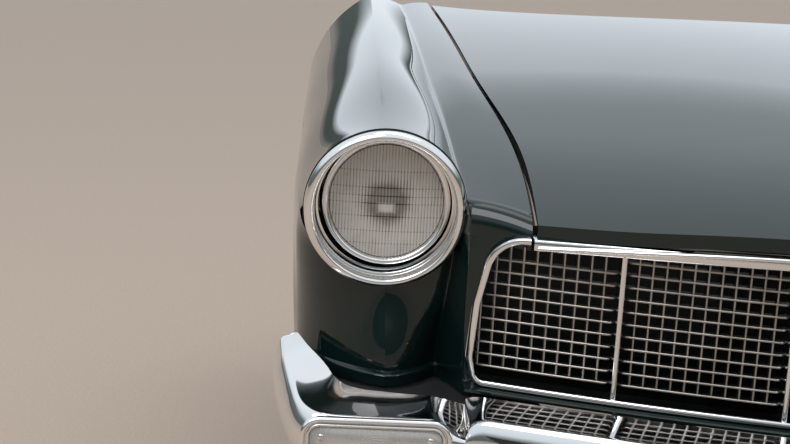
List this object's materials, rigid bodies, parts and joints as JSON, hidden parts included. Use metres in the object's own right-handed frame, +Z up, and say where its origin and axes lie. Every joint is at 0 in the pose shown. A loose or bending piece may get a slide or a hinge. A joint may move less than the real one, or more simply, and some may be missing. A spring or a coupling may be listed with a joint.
{
  "type": "front end assembly of a 1950s luxury coupe",
  "caption": "Front end of a 1950s luxury coupe: opening hood, fenders, egg-crate grille, headlamps and split bumper.",
  "frame": {"origin": "middle of the rectangle of the four cowl bolts, on the fenders' rear faces", "axes": "+X to the car's left, +Y rearward, out of the cowl bolts' face, +Z up"},
  "size_m": [1.968, 2.056, 0.6734],
  "materials": {
    "body_paint": "gloss",
    "inner_paint": "satin",
    "bright_trim": "polished",
    "grille_metal": "satin",
    "lamp_glass": "gloss",
    "lamp_metal": "polished",
    "frame_black": "satin",
    "radiator_core": "matte"
  },
  "bodies": {
    "front_end": {"bumper_arms": "frame_black", "bumper_back_bar": "frame_black", "bumper_blade": "bright_trim", "bumper_end_left": "bright_trim", "bumper_end_right": "bright_trim", "cross_member": "frame_black", "fender_left": "body_paint", "fender_right": "body_paint", "frame_rail_left": "frame_black", "frame_rail_right": "frame_black", "grille_dividers": "bright_trim", "grille_frame": "bright_trim", "grille_mesh_1": "grille_metal", "grille_mesh_2": "grille_metal", "grille_mesh_3": "grille_metal", "grille_mesh_4": "grille_metal", "grille_mesh_5": "grille_metal", "grille_mesh_6": "grille_metal", "headlamp_bezel_left": "bright_trim", "headlamp_bezel_right": "bright_trim", "headlamp_bucket_left": "lamp_metal", "headlamp_bucket_right": "lamp_metal", "headlamp_lens_left": "lamp_glass", "headlamp_lens_right": "lamp_glass", "headlamp_ring_left": "bright_trim", "headlamp_ring_right": "bright_trim", "hinge_bracket_left": "inner_paint", "hinge_bracket_right": "inner_paint", "hood_latch": "inner_paint", "inner_apron_left": "inner_paint", "inner_apron_right": "inner_paint", "parking_lamp_housing_left": "bright_trim", "parking_lamp_housing_right": "bright_trim", "parking_lamp_lens_left": "lamp_glass", "parking_lamp_lens_right": "lamp_glass", "radiator": "radiator_core", "radiator_support": "inner_paint", "valance": "body_paint"},
    "hood": {"hood_skin": "body_paint", "hood_frame": "inner_paint", "hood_moulding": "bright_trim", "hood_hinge_arms": "inner_paint", "hood_striker": "inner_paint"}
  },
  "joints": [
    {"name": "hood_hinge", "type": "hinge", "parent": "front_end", "child": "hood", "pos_m": [0, -0.085, 0.273], "axis": [-1, 0, 0], "range_deg": [0, 50]}
  ]
}
